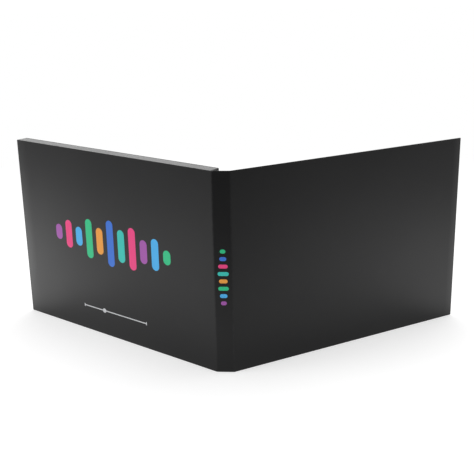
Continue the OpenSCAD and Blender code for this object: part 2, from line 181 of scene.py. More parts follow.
class PrintSettings(bpy.types.PropertyGroup):
    bar_w: FloatProperty(name="Bar", description="Width of the printed bars", default=7.4 * MM, unit="LENGTH")
    pitch: FloatProperty(name="Pitch", description="Distance between the bars' middles", default=12.0 * MM,
                         unit="LENGTH")
    bar_h: FloatProperty(name="Tallest bar", description="Height of the tallest bar", default=38 * MM,
                         unit="LENGTH")
    middle: FloatProperty(name="Middle", description="Height of the bars' middle line", default=80 * MM,
                          unit="LENGTH")
    line_z: FloatProperty(name="Timeline", description="Height of the printed timeline", default=21 * MM,
                          unit="LENGTH")
    line_w: FloatProperty(name="Timeline length", description="Length of the printed timeline",
                          default=70 * MM, unit="LENGTH")
    meter_z: FloatProperty(name="Meter", description="Height of the middle of the spine's level meter",
                           default=74 * MM, unit="LENGTH")
    meter_pitch: FloatProperty(name="Meter pitch", description="Distance between the level meter's bars",
                               default=5.6 * MM, unit="LENGTH")


class StageSettings(bpy.types.PropertyGroup):
    lens: FloatProperty(name="Lens", description="Focal length of the camera", default=65.16, unit="CAMERA")
    viewpoint: FloatVectorProperty(name="Camera", description="Place of the camera", subtype="TRANSLATION",
                                   default=(0.05862, -0.63444, 0.28353))
    floor: FloatProperty(name="Floor", description="Side of the floor", default=12.0, unit="LENGTH")
    key: FloatProperty(name="Key", description="Power of the overhead lamp", default=15.5, unit="POWER")
    fill: FloatProperty(name="Fill", description="Power of the lamp on the left", default=6.5, unit="POWER")
    world: FloatProperty(name="World", description="Strength of the even light from all round", default=0.55,
                         min=0, max=2)


# Shapes


def grid_faces(rows, cols, ring=False):
    """Quads between neighbours on a grid whose columns close on themselves. With ring, its rows do too."""
    i = np.arange(rows if ring else rows - 1)[:, None]
    j = np.arange(cols)[None, :]
    k, m = (i + 1) % rows, (j + 1) % cols
    return np.stack([i * cols + j, i * cols + m, k * cols + m, k * cols + j], -1).reshape(-1, 4)


def outward(points, quads, caps):
    """Faces of a closed surface, all turned round where its volume, the sum over its triangles of a . (b x c)
    from the middle of its points, is negative."""
    fans = [np.stack([np.full(len(c) - 2, c[0]), c[1:-1], c[2:]], 1) for c in caps]
    triangles = np.concatenate([quads[:, :3], quads[:, [0, 2, 3]], *fans])
    centred = points - points.mean(0)
    a, b, c = (centred[triangles[:, n]] for n in range(3))
    step = -1 if np.einsum("ij,ij->", a, np.cross(b, c)) < 0 else 1
    return [f[::step] for f in quads.tolist() + [c.tolist() for c in caps]]


def loft(rings, ring=False):
    """Closed surface through a stack of closed outlines: quads join each to the next, and flat faces close
    the first and the last. With ring, the last outline joins the first instead."""
    rows, cols = rings.shape[:2]
    points = rings.reshape(-1, 3)
    caps = [] if ring else [np.arange(cols)[::-1], np.arange((rows - 1) * cols, rows * cols)]
    return points, outward(points, grid_faces(rows, cols, ring), caps)


def joined(shapes):
    """Several closed shapes as one, the faces of each counted on from the points before it."""
    starts = np.cumsum([0] + [len(points) for points, _ in shapes])
    faces = [(np.array(face) + start).tolist() for (_, own), start in zip(shapes, starts) for face in own]
    return np.concatenate([points for points, _ in shapes]), faces


def outline(low, high, radius, inset=0.0, hold=(1, 1, 1, 1), steps=7):
    """Points round a rectangle with rounded corners, counter-clockwise from its low corner. Each corner is a
    quarter circle about a centre one radius inside its two sides. The inset moves the sides inward and comes
    off the radius, and hold has a 0 for a side that stays, of left, bottom, right and top."""
    low = np.array(low) + inset * np.array(hold[:2])
    high = np.array(high) - inset * np.array(hold[2:])
    r = np.maximum(np.broadcast_to(radius, 4) - inset, NO_EDGE)
    x = np.array([low[0] + r[0], high[0] - r[1], high[0] - r[2], low[0] + r[3]])[:, None]
    y = np.array([low[1] + r[0], low[1] + r[1], high[1] - r[2], high[1] - r[3]])[:, None]
    angle = np.radians([180, 270, 0, 90])[:, None] + np.linspace(0, np.pi / 2, steps)
    r = r[:, None]
    return np.stack([x + r * np.cos(angle), y + r * np.sin(angle)], -1).reshape(-1, 2)


def raised(rings, heights, order):
    """Flat outlines lifted to their heights. The order says which of x, y and z each of the three columns
    becomes."""
    height = np.broadcast_to(np.asarray(heights, float)[:, None, None], (*rings.shape[:2], 1))
    flat = np.concatenate([rings, height], -1)
    local = np.empty_like(flat)
    local[..., list(order)] = flat
    return local


def slab(place, low, high, radius, edge, hold=(1, 1, 1, 1), order=ON_CARD, steps=7):
    """Flat board between two corners. Its outline is a rounded rectangle, which a quarter circle of radius
    edge leads out from one face and another leads back in to the other face."""
    p, q, h = order
    a = np.linspace(0, np.pi / 2, 5)
    inset = edge * np.concatenate([1 - np.sin(a), 1 - np.cos(a)])
    height = np.concatenate([low[h] + edge * (1 - np.cos(a)), high[h] - edge * (1 - np.sin(a))])
    rings = np.stack([outline((low[p], low[q]), (high[p], high[q]), radius, i, hold, steps) for i in inset])
    return loft(place.out(raised(rings, height, order)))


def turned(place, centre, profile, sides=48, order=ON_CARD):
    """Profile of radii and heights carried round an axis: each point goes once round a circle about it."""
    angle = np.linspace(0, 2 * np.pi, sides, endpoint=False)
    profile = np.asarray(profile, float)
    rings = profile[:, :1, None] * np.stack([np.cos(angle), np.sin(angle)], -1)[None] + np.asarray(centre)
    return loft(place.out(raised(rings, profile[:, 1], order)))


def prism(place, polygon, low, high, order=ON_CARD):
    """Flat polygon given a thickness: one outline at the low height and the same one at the high height."""
    rings = np.broadcast_to(np.asarray(polygon, float), (2, len(polygon), 2))
    return loft(place.out(raised(rings, [low, high], order)))


def folded(place, centre, radius, angles, low, high, edge):
    """Card bent round an upright axis: a rounded rectangle of the card's thickness and height is carried
    along an arc, each point at the arc's radius less its own depth in the card."""
    angle = np.asarray(angles)[:, None]
    section = outline(low, high, edge)
    reach = radius - section[None, :, 0]
    x = centre[0] + reach * np.cos(angle)
    y = centre[1] + reach * np.sin(angle)
    z = np.broadcast_to(section[None, :, 1], x.shape)
    return loft(place.out(np.stack([x, y, z], -1)))


def quarter(centre, radius, start, steps=5):
    """Quarter circle as a list of points, from the start angle in degrees to the one 90 degrees on."""
    a = np.radians(start) + np.linspace(0, np.pi / 2, steps)
    return np.stack([centre[0] + radius * np.cos(a), centre[1] + radius * np.sin(a)], -1).tolist()


# Finishes


class Nodes:
    """Short calls for the nodes of a material or world, whose inputs are other nodes' outputs or values."""

    def __init__(self, tree):
        self.tree = tree

    def feed(self, socket, value):
        """Links an output to a socket, or sets the socket's own value."""
        if isinstance(value, bpy.types.NodeSocket):
            self.tree.links.new(value, socket)
        else:
            socket.default_value = value

    def node(self, kind, inputs=None, **settings):
        """New node of a kind, with its settings, and its inputs by name or number."""
        made = self.tree.nodes.new("ShaderNode" + kind)
        for name, value in settings.items():
            setattr(made, name, value)
        for name, value in (inputs or {}).items():
            self.feed(made.inputs[name], value)
        return made

    def math(self, operation, a, b=0.0, c=0.0):
        """Number worked out from up to three others."""
        return self.node("Math", {0: a, 1: b, 2: c}, operation=operation).outputs[0]

    def plus(self, a, b):
        return self.math("ADD", a, b)

    def minus(self, a, b):
        return self.math("SUBTRACT", a, b)

    def times(self, a, b):
        return self.math("MULTIPLY", a, b)

    def larger(self, a, b):
        return self.math("MAXIMUM", a, b)

    def apart(self, a, b):
        """Distance between two numbers."""
        return self.math("ABSOLUTE", self.minus(a, b))

    def span(self, value, low, high, to_low=0.0, to_high=1.0):
        """Number carried in a straight line from one range to another, and held at both ends."""
        return self.node("MapRange", {"Value": value, "From Min": low, "From Max": high, "To Min": to_low,
                                      "To Max": to_high}).outputs[0]

    def between(self, factor, first, second):
        """Shader between two others, all the first at factor 0."""
        return self.node("MixShader", {0: factor, 1: first.outputs[0], 2: second.outputs[0]})


class Finish(Nodes):
    """A material under construction, with short calls for its patterns. They lie in the directions of a
    place, or along the unfolded card where no place is given."""

    def __init__(self, name, color, roughness, place=None, **sockets):
        self.material = bpy.data.materials.new(name)
        self.material.use_nodes = True
        super().__init__(self.material.node_tree)
        self.shader = self.tree.nodes["Principled BSDF"]
        self.set(**{"Base Color": (*color, 1), "Roughness": roughness, **sockets})
        if place is None:
            self.where = self.node("Attribute", attribute_name="sheet").outputs["Vector"]
        else:
            self.where = self.node("Mapping", {
                "Vector": self.node("TexCoord").outputs["Object"],
                "Rotation": (0, 0, -place.turn), "Location": tuple(place.back(np.zeros(3)))}).outputs[0]

    def set(self, **sockets):
        """Feeds the main shader's sockets."""
        for name, value in sockets.items():
            self.feed(self.shader.inputs[name], value)

    def paint(self, color, roughness):
        """Feeds the surface's colour and its roughness."""
        self.set(**{"Base Color": color, "Roughness": roughness})

    def stretched(self, scale):
        """Place on the pattern, its three directions each times their own scale."""
        return self.node("VectorMath", {0: self.where, 1: scale}, operation="MULTIPLY").outputs[0]

    def noise(self, scale, detail=2.0, stretch=(1, 1, 1), distortion=0.0):
        """Soft random pattern from 0 to 1."""
        return self.node("TexNoise", {"Vector": self.stretched(stretch), "Scale": scale, "Detail": detail,
                                      "Distortion": distortion}).outputs[0]

    def cells(self, scale, stretch=(1, 1, 1), distance="EUCLIDEAN"):
        """Distance to the nearest of some scattered points."""
        return self.node("TexVoronoi", {"Vector": self.stretched(stretch), "Scale": scale},
                         distance=distance).outputs[0]

    def wave(self, scale, axis="X"):
        """Even stripes across an axis, from 0 to 1 as a sine."""
        made = self.node("TexWave", {"Vector": self.where, "Scale": scale}, bands_direction=axis)
        return made.outputs["Fac"]

    def along(self, axis):
        """Coordinate along one of the pattern's directions."""
        return self.node("SeparateXYZ", {0: self.where}).outputs[axis]

    def mix(self, factor, a, b):
        """Colour between two others, all the first at factor 0."""
        made = self.node("Mix", {0: factor}, data_type="RGBA")
        for socket, value in zip([s for s in made.inputs if s.type == "RGBA"], (a, b)):
            self.feed(socket, value if isinstance(value, bpy.types.NodeSocket) else (*value, 1))
        return next(s for s in made.outputs if s.type == "RGBA")

    def bump(self, height, distance, strength=1.0):
        """Relief of a pattern, its heights from 0 to 1 each times the distance."""
        relief = self.node("Bump", {"Height": height, "Distance": distance, "Strength": strength})
        self.set(Normal=relief.outputs[0])


# Scale of the card's paper grain, about 0.7 mm a fleck
PAPER_GRAIN = 1400


def card_finish(name, wrap, place=None, folds=(), spread=None):
    """Black laminated card: a faint paper grain under a satin film, broad soft unevenness, and lighter, drier
    card along the fold lines where the film has rubbed. A sheet whose spread is given, half its width and
    half its height, has grey cut edges, the card's grey core made lighter as a painted sheen, and bends back
    a little along its two free ends."""
    f = Finish(name, wrap.card_color, wrap.roughness, place)
    grain, broad = f.noise(PAPER_GRAIN, 5), f.noise(16, 2, distortion=0.4)
    scuffs = f.span(f.noise(60, 6, (1, 1, 0.35)), 0.55, 0.85)
    worn = f.times(scuffs, 0.10)
    for at in folds:
        line = f.span(f.apart(f.along(0), at), 0.9 * MM, 0.1 * MM)
        rub = f.times(line, f.span(f.noise(420, 4, (1, 1, 0.3)), 0.3, 0.75))
        worn = f.plus(worn, f.times(rub, 0.55))
    tone = f.plus(worn, f.times(f.minus(grain, 0.5), 0.12))
    color = f.mix(f.larger(tone, 0.0), wrap.card_color, wrap.worn_color)
    relief = f.plus(f.times(grain, 0.03), broad)
    if spread:
        half_w, half_h = spread
        above = f.minus(f.apart(f.along(1), half_h), half_h)
        beside = f.minus(f.apart(f.along(0), 0.0), half_w)
        # Grey along the cut edges: the card's core, lightened as a painted sheen
        cut = f.span(f.larger(above, beside), -0.1 * MM, -0.03 * MM)
        color = f.mix(f.times(cut, f.span(grain, 0.3, 0.7, 0.6, 1.0)), color, wrap.fibre_and_sheen_color)
        # Strip along each free end, and how far it bends back
        for side, strip, depth in ((-1, 12 * MM, 18.0), (1, 7 * MM, 25.0)):
            bent = f.math("POWER", f.span(f.along(0), side * (half_w - strip), side * half_w), 2.0)
            relief = f.minus(relief, f.times(bent, depth))
    f.paint(color, f.plus(f.plus(f.times(broad, 0.10), wrap.roughness - 0.05), f.times(grain, 0.06)))
    f.bump(relief, 0.05 * MM, 0.5)
    return f.material


def wall_finish(wrap, low, high):
    """The card of the case's folded walls: the same black film, with faint streaks along the walls from
    scoring and gluing, and rubbed light along the box's edges. Of a point's distances to the box's three
    pairs of faces, the middle one is its distance to the nearest edge."""
    f = Finish("case_wall_card", wrap.card_color, wrap.roughness, CASE)
    streak, grain = f.noise(900, 3, (0.04, 1, 0.04)), f.noise(PAPER_GRAIN, 4)
    a, b, c = (f.minus((high[n] - low[n]) / 2, f.apart(f.along(n), (high[n] + low[n]) / 2)) for n in range(3))
    edge = f.larger(f.math("MINIMUM", a, b), f.math("MINIMUM", f.larger(a, b), c))
    rubbed = f.times(f.span(edge, 0.75 * MM, 0.2 * MM), f.span(f.noise(300, 4), 0.3, 0.7, 0.5, 1.0))
    film = f.mix(f.span(streak, 0.5, 0.8, 0, 0.3), wrap.card_color, wrap.worn_color)
    rough = f.span(streak, 0.3, 0.7, wrap.roughness - 0.1, wrap.roughness + 0.04)
    f.paint(f.mix(rubbed, film, (0.12, 0.12, 0.122)), f.plus(rough, f.times(grain, 0.05)))
    f.set(**{"Sheen Weight": 0.5, "Sheen Roughness": 0.35})
    f.bump(f.plus(streak, f.times(grain, 0.3)), 0.03 * MM, 0.5)
    return f.material


WHITE = (1, 1, 1, 1)
# Printed inks
INKS = {
    "violet": (0.42, 0.1, 0.46),
    "green": (0.02, 0.62, 0.27),
    "rose": (0.98, 0.055, 0.26),
    "sky": (0.07, 0.5, 0.98),
    "orange": (0.98, 0.39, 0.05),
    "teal": (0.035, 0.63, 0.55),
    "blue": (0.04, 0.19, 0.76),
    "silver": (0.72, 0.73, 0.75),
}


def darker(color, share):
    """A colour with each of its parts times the share."""
    return tuple(share * c for c in color)


def ink_finish(name, color, place):
    """Offset ink on card: a flat colour with a fine printing dot, the paper's grain and a satin film."""
    f = Finish("ink_" + name, color, 0.34, place)
    dots, grain = f.cells(5200), f.noise(PAPER_GRAIN, 4)
    f.paint(f.mix(f.times(dots, 0.5), color, darker(color, 0.86)), f.plus(f.times(grain, 0.08), 0.3))
    f.bump(grain, 0.01 * MM, 0.4)
    return f.material


EVEN = (1, 1, 1)
# Finishes of the pieces inside the case: two colours, a pattern and its scale and stretch, the roughness at
# the pattern's two ends, the depth of its relief in millimetres, and what else the shader takes
INSIDE = {
    "grey_board": ((0.36, 0.355, 0.34), (0.22, 0.215, 0.2), "noise", 700, (1, 1, 3), (0.8, 0.95), 0.06, {}),
    "foam": ((0.035, 0.035, 0.038), (0.012, 0.012, 0.013), "cells", 1500, EVEN, (0.85, 1.0), 0.2, {}),
    "sheet_steel": ((0.56, 0.57, 0.59), (0.44, 0.45, 0.47), "noise", 500, (0.05, 1, 1), (0.26, 0.42), 0.01,
                    {"Metallic": 1.0}),
    "light_guide_acrylic": ((0.8, 0.82, 0.84), (0.9, 0.92, 0.94), "cells", 900, EVEN, (0.12, 0.3), 0.03, {}),
    "black_tape": ((0.012, 0.012, 0.012), (0.03, 0.03, 0.03), "noise", 1200, EVEN, (0.5, 0.7), 0.02, {}),
    "polyimide_flex": ((0.42, 0.16, 0.03), (0.6, 0.3, 0.1), "wave", 330, EVEN, (0.28, 0.4), 0.03, {}),
    "circuit_board": ((0.01, 0.1, 0.045), (0.03, 0.2, 0.09), "tracks", 260, (1, 0.01, 1), (0.28, 0.42),
                      0.03, {}),
    "chip_plastic": ((0.012, 0.012, 0.013), (0.03, 0.03, 0.032), "noise", 3500, EVEN, (0.45, 0.65), 0.02, {}),
    "capacitor_ceramic": ((0.34, 0.23, 0.12), (0.6, 0.6, 0.58), "noise", 800, EVEN, (0.4, 0.55), 0.02, {}),
    "reed_glass": ((0.55, 0.64, 0.6), (0.4, 0.5, 0.46), "noise", 300, EVEN, (0.05, 0.12), 0.01,
                   {"Transmission Weight": 0.7}),
    "white_nylon": ((0.74, 0.71, 0.62), (0.62, 0.59, 0.5), "noise", 1500, EVEN, (0.4, 0.55), 0.02, {}),
    "lamp_plastic": ((0.72, 0.78, 0.82), (0.82, 0.86, 0.88), "noise", 900, EVEN, (0.1, 0.2), 0.01,
                     {"Transmission Weight": 0.5}),
    "battery_pouch": ((0.6, 0.61, 0.63), (0.45, 0.46, 0.48), "noise", 130, EVEN, (0.25, 0.5), 0.25,
                      {"Metallic": 0.9}),
    "lead_insulation": ((0.4, 0.02, 0.012), (0.3, 0.012, 0.01), "noise", 1500, EVEN, (0.35, 0.5), 0.02, {}),
    "paper_cone": ((0.022, 0.022, 0.024), (0.05, 0.05, 0.052), "noise", 1600, EVEN, (0.7, 0.9), 0.05, {}),
    "magnet_nickel": ((0.6, 0.59, 0.56), (0.5, 0.49, 0.46), "noise", 500, EVEN, (0.15, 0.3), 0.01,
                      {"Metallic": 1.0}),
}


def inside_finish(name):
    """One of the finishes of the pieces inside the case, patterned along the case's own directions. Tracks
    show where a point is far from all of some scattered ones."""
    color, second, pattern, scale, stretch, (smooth, rough), relief, sockets = INSIDE[name]
    f = Finish(name, color, smooth, CASE, **sockets)
    if pattern == "cells":
        fac = f.cells(scale, stretch)
    elif pattern == "wave":
        fac = f.wave(scale)
    elif pattern == "tracks":
        fac = f.span(f.cells(scale, stretch, "CHEBYCHEV"), 0.42, 0.46)
    else:
        fac = f.noise(scale, 4, stretch)
    f.paint(f.mix(fac, color, second), f.span(fac, 0, 1, smooth, rough))
    f.bump(fac, relief * MM, 0.6)
    return f.material


def glass_finish():
    """Cover glass of the screen: near black, smooth, with the faint smears that fingers and cloths leave."""
    f = Finish("screen_glass", (0.004, 0.0045, 0.006), 0.07, CASE, **{"Specular IOR Level": 0.3})
    smear = f.noise(45, 5, distortion=1.2)
    f.paint(f.mix(smear, (0.003, 0.0035, 0.005), (0.006, 0.0065, 0.008)),
            f.span(smear, 0.35, 0.75, 0.04, 0.13))
    return f.material


def film_finish():
    """Film over the picture area: nearly as black, less sharp, and ruled with the screen's upright rows."""
    f = Finish("screen_film", (0.003, 0.0035, 0.006), 0.14, CASE, **{"Specular IOR Level": 0.22})
    f.paint(f.mix(f.wave(2600), (0.0025, 0.003, 0.005), (0.004, 0.0048, 0.008)),
            f.span(f.noise(45, 5), 0.3, 0.8, 0.08, 0.18))
    return f.material


def cap_finish(look):
    """Moulded satin plastic of the button caps, with a fine moulded grain."""
    f = Finish("button_plastic", look.color, 0.36, CASE)
    grain = f.noise(2600, 4)
    f.paint(f.mix(grain, look.color, darker(look.color, 0.85)), f.span(grain, 0.3, 0.7, 0.3, 0.44))
    f.bump(grain, 0.01 * MM, 0.5)
    return f.material


def symbol_finish(look):
    """Dark pad-printed ink of the symbols, a little uneven in its gloss."""
    f = Finish("symbol_ink", look.symbol_color, 0.4, CASE)
    f.set(Roughness=f.span(f.noise(2000), 0.3, 0.7, 0.35, 0.5))
    return f.material


def cloth_finish():
    """Woven dust cloth: threads both ways, the higher of two sets of stripes, with painted shade in the gaps
    between threads so that a thread's top shows lighter.
    """
    f = Finish("dust_cloth", (0.012, 0.012, 0.013), 0.8, CASE)
    weave = f.larger(f.wave(900), f.wave(900, "Z"))
    # The weave sets the colour as painted shade: darker between the threads, lighter on their tops
    f.set(**{"Base Color": f.mix(weave, (0.006, 0.006, 0.006), (0.03, 0.03, 0.032))})
    f.bump(weave, 0.08 * MM, 0.8)
    return f.material


def floor_finish():
    """Pale table: to the camera it is white where nothing shades it, and all white further off. In
    reflections it shows a painted glow, bright beside and behind the brochure and fading toward the front and
    far to the sides, and a painted shadow along the covers' feet, both fixed on the floor. To other light it
    is plain pale paint."""
    f = Finish("floor", (0.8, 0.8, 0.8), 0.9, Place("floor", (0, 0, 0), 0))
    f.set(**{"Base Color": f.mix(f.noise(6, 3), (0.645, 0.645, 0.645), (0.655, 0.655, 0.655)),
             "Specular IOR Level": 0.0, "Emission Color": WHITE, "Emission Strength": 0.5})
    x, y = f.along(0), f.along(1)
    out = f.apart(x, 0.0)
    far = f.node("VectorMath", {0: f.where}, operation="LENGTH").outputs["Value"]
    table = f.between(f.span(far, 0.35, 0.75), f.shader, f.node("Emission", {"Strength": 1.0}))
    # Painted glow, seen only in reflections: it fades toward the front and far to both sides
    front = f.math("POWER", f.span(y, -0.45, 0.05), 1.75)
    reach = f.span(out, 0.32, 0.6, 1.0, 0.29)
    # The painted glow far left dips beside the case's near half and is brightest beyond its far end, and the
    # right is brighter than the middle
    beside = f.span(y, 0.01, 0.075, f.span(y, -0.15, -0.07, 1.6, 0.3), 2.55)
    middle = f.span(x, -0.05, 0.045, f.span(y, -0.12, -0.05, 1.22, 0.87), 0.82)
    left = f.span(x, -0.475, -0.2, f.span(x, -0.95, -0.61, 0.4, beside), middle)
    side = f.times(left, f.span(x, 0.23, 0.38, 1.0, 1.32))
    # Painted shadow at the covers' feet, seen only in reflections: the gap is a point's distance in front of
    # the line that each cover stands on
    panel = f.math("MULTIPLY_ADD", out, math.tan(OPEN_TURN), REAR_FOLD[1])
    gap = f.times(f.minus(panel, y), math.cos(OPEN_TURN))
    foot, end = f.span(x, -0.02, 0.08, 0.4, 0.3), f.span(x, -0.02, 0.02, 1.16, 0.955)
    near = f.larger(f.span(gap, 0.022, 0.125, foot, 1.0), f.span(out, 0.17, 0.212, foot, end))
    painted_glow = f.math("MULTIPLY_ADD", f.times(f.times(front, reach), f.times(side, near)), 1.6, 0.1)
    path = f.node("LightPath").outputs
    mirrored = f.larger(path["Is Glossy Ray"], path["Is Transmission Ray"])
    bounced = f.between(mirrored, f.node("BsdfDiffuse", {"Color": (0.8, 0.8, 0.8, 1)}),
                        f.node("Emission", {"Strength": painted_glow}))
    seen = f.between(path["Is Camera Ray"], bounced, table)
    f.feed(f.tree.nodes["Material Output"].inputs["Surface"], seen.outputs[0])
    return f.material


# Pieces


# Turn between two faces from which their edge is drawn sharp
SHARP = math.radians(40)


def mesh_of(name, shape):
    """Mesh of a closed shape, which is a pair of its points and its faces."""
    mesh = bpy.data.meshes.new(name)
    mesh.from_pydata(shape[0].tolist(), [], shape[1])
    return mesh


def add_piece(name, place, shape, material, stands_for=(), sheet=None, blend=None):
    """Makes a finished piece from a closed shape. sheet gives its points on the unfolded card."""
    mesh = mesh_of(name, shape)
    if sheet is not None:
        attribute = mesh.attributes.new("sheet", "FLOAT_VECTOR", "POINT")
        attribute.data.foreach_set("vector", np.asarray(sheet, np.float32).ravel())
    settle(name, place, mesh, material, stands_for, blend)


def settle(name, place, mesh, material, stands_for=(), blend=None):
    """Puts a mesh on its body as a piece, with smooth faces, sharp edges and shading that keeps large faces
    flat. A piece given a blend stays where it is in the world instead; the bodies and points in the blend are
    not used."""
    mesh.polygons.foreach_set("use_smooth", np.ones(len(mesh.polygons), bool))
    mesh.set_sharp_from_angle(angle=SHARP)
    mesh.materials.append(material)
    piece = bpy.data.objects.new(name, mesh)
    bpy.context.scene.collection.objects.link(piece)
    even = piece.modifiers.new("even_shading", "WEIGHTED_NORMAL")
    even.keep_sharp = True
    if blend:
        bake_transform(piece)
    else:
        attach(piece, place.body)
    if stands_for:
        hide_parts(*stands_for)


def cut_mesh(name, shape, cutters):
    """Mesh of a closed shape with closed cutters taken out of it."""
    parts = []
    for label, solid in (("body", shape), ("cutters", joined(cutters))):
        part = bpy.data.objects.new(label, mesh_of(label, solid))
        bpy.context.scene.collection.objects.link(part)
        parts.append(part)
    cut = parts[0].modifiers.new("cut", "BOOLEAN")
    cut.operation, cut.solver, cut.object = "DIFFERENCE", "EXACT", parts[1]
    result = parts[0].evaluated_get(bpy.context.evaluated_depsgraph_get())
    mesh = bpy.data.meshes.new_from_object(result)
    mesh.name = name
    for part in parts:
        data = part.data
        bpy.data.objects.remove(part)
        bpy.data.meshes.remove(data)
    return mesh


def on_sheet(place, points, offset):
    """Points on the unfolded card: distance along it, height, and depth in the card, all in metres."""
    local = place.back(points)
    return np.stack([local[:, 0] + offset, local[:, 2], local[:, 1]], -1)


class BROCHURE_OT_wrap(bpy.types.Operator):
    """Back cover, spine and front cover of one printed card, with the two bent creases between them"""

    bl_idname = "brochure.wrap"
    bl_label = "Outer card"

    def execute(self, context):
        wrap = context.scene.brochure_wrap
        fold_x = FRONT_FOLD[0]
        cover = COVER.span("front_panel")[1]
        card = card_finish("outer_card", wrap, None, (-fold_x, fold_x), (fold_x + cover[0], cover[2] / 2))
        # After the place: a 1 for each side that is a cut edge, the way along the sheet to the place's own
        # fold line, and a 1 for each corner that is rounded
        for name, node, place, hold, offset, corners in (
            ("back_cover_card", "back_panel", CASE, (1, 1, 0, 1), -fold_x, (1, 0, 0, 1)),
            ("spine_card", "spine_panel", SPINE, (0, 1, 0, 1), 0.0, (0, 0, 0, 0)),
            ("front_cover_card", "front_panel", COVER, (0, 1, 1, 1), fold_x, (0, 1, 1, 0)),
        ):
            low, high = place.span(node)
            low[1] += wrap.ink
            shape = slab(place, low, high, wrap.corner * np.array(corners), wrap.edge, hold)
            add_piece(name, place, shape, card, [node], on_sheet(place, shape[0], offset))
        self.crease(wrap, card, "rear_crease", -1, "case")
        self.crease(wrap, card, "front_crease", 1, "front_cover")
        return {"FINISHED"}

    def crease(self, wrap, card, node, side, cover):
        """Strip between the spine and a cover, bent on an arc that touches both panels a setback from the
        fold line: its radius is the setback over the tangent of half the turn."""
        low, high = SPINE.span("spine_panel")
        half, fold_x = high[0], FRONT_FOLD[0]
        setback = fold_x - half
        radius = setback / math.tan(OPEN_TURN / 2)
        angles = -np.pi / 2 + side * np.linspace(0, OPEN_TURN, 17)
        shape = folded(SPINE, (side * half, radius), radius, angles, (wrap.ink, low[2]), (high[1], high[2]),
                       wrap.edge)
        along = side * np.linspace(half, fold_x + setback, len(angles))
        along = np.repeat(along, len(shape[0]) // len(angles))
        sheet = np.stack([along, shape[0][:, 2], np.zeros(len(along))], -1)
        fold = np.array([side * fold_x, REAR_FOLD[1], 0])
        near = fold - np.array([side * setback, 0, 0])
        far = fold + side * setback * np.array([math.cos(OPEN_TURN), side * math.sin(OPEN_TURN), 0])
        bend = (cover, "spine", far, near) if side < 0 else ("spine", cover, near, far)
        add_piece(node + "_card", SPINE, shape, card, [node], sheet, bend)


class BROCHURE_OT_linings(bpy.types.Operator):
    """Card glued inside the front cover and the spine"""

    bl_idname = "brochure.linings"
    bl_label = "Linings"

    def execute(self, context):
        wrap = context.scene.brochure_wrap
        for name, node, place in (("front_lining_card", "front_liner", COVER),
                                  ("spine_lining_card", "spine_liner", SPINE)):
            low, high = place.span(node)
            low[2] += wrap.lining_step
            high[2] -= wrap.lining_step
            if place is COVER:
                high[0] -= wrap.lining_step
            shape = slab(place, low, high, 0.5 * wrap.corner, 0.7 * wrap.edge)
            add_piece(name, place, shape, card_finish(name, wrap, place), [node])
        return {"FINISHED"}


class BROCHURE_OT_case(bpy.types.Operator):
    """Folded walls round the case with their glue flaps, and the slot of the charging socket"""

    bl_idname = "brochure.case"
    bl_label = "Case walls"

    def execute(self, context):
        wrap, case = context.scene.brochure_wrap, context.scene.brochure_case
        low, high = CASE.span("tray_walls")
        foot, top, fold, soft = low[1], high[1], case.fold, SMALL_EDGE
        wall = CASE.span("mounting_card")[0][0] - low[0] - FIT_GAP
        least_fold, slot_corner, slot_depth = 0.05 * MM, 0.9 * MM, 3 * MM
        inner = max(fold - wall, least_fold)
        # Section of a wall with its flap: how far in from the box's outside, and the depth in the case
        profile = np.array([
            (soft, foot), (0, foot + soft), *reversed(quarter((fold, top - fold), fold, 90, 7)),
            (FLAP_W - soft, top), (FLAP_W, top - soft), (FLAP_W, top - wall),
            *quarter((wall + inner, top - wall - inner), inner, 90), (wall, foot),
        ])
        rings = np.stack([outline((low[0], low[2]), (high[0], high[2]), case.corner, inset)
                          for inset in profile[:, 0]])
        ring = loft(CASE.out(raised(rings, profile[:, 1], ON_CARD)), ring=True)
        port_low, port_high = CASE.span("usb_socket")
        cutter = slab(CASE, (low[0] - THROUGH, *(port_low[1:] - PORT_GAP)),
                      (low[0] + slot_depth, *(port_high[1:] + PORT_GAP)), slot_corner, NO_EDGE,
                      order=IN_FORE_EDGE)
        settle("case_walls", CASE, cut_mesh("case_walls", ring, [cutter]), wall_finish(wrap, low, high),
               ["tray_walls"])
        return {"FINISHED"}


def window_span():
    """Corners of the screen window: the module's, less its border and, at the bottom, its wider chin."""
    low, high = CASE.span("lcd_bezel")
    return (low[0] + LCD_BORDER, low[2] + LCD_CHIN), (high[0] - LCD_BORDER, high[2] - LCD_BORDER)


def half_width(node):
    """Half the width of a node along the case."""
    low, high = CASE.span(node)
    return (high[0] - low[0]) / 2


def cap_radius():
    """Radius of a cap above its rim: half the node's width less the rim's reach."""
    return half_width("play_button") - RIM_OVER


def speaker_holes():
    """Middles of the speaker's holes: one, then rings of 6 and 12 about the speaker's axis."""
    middle = CASE.middle("speaker_frame")
    ring = np.repeat([0, 1, 2], [1, 6, 12])
    turn = np.concatenate([[0], np.arange(6) / 6, np.arange(12) / 12]) * 2 * np.pi
    reach = ring * HOLE_STEP
    return np.stack([middle[0] + reach * np.cos(turn), middle[2] + reach * np.sin(turn)], -1)


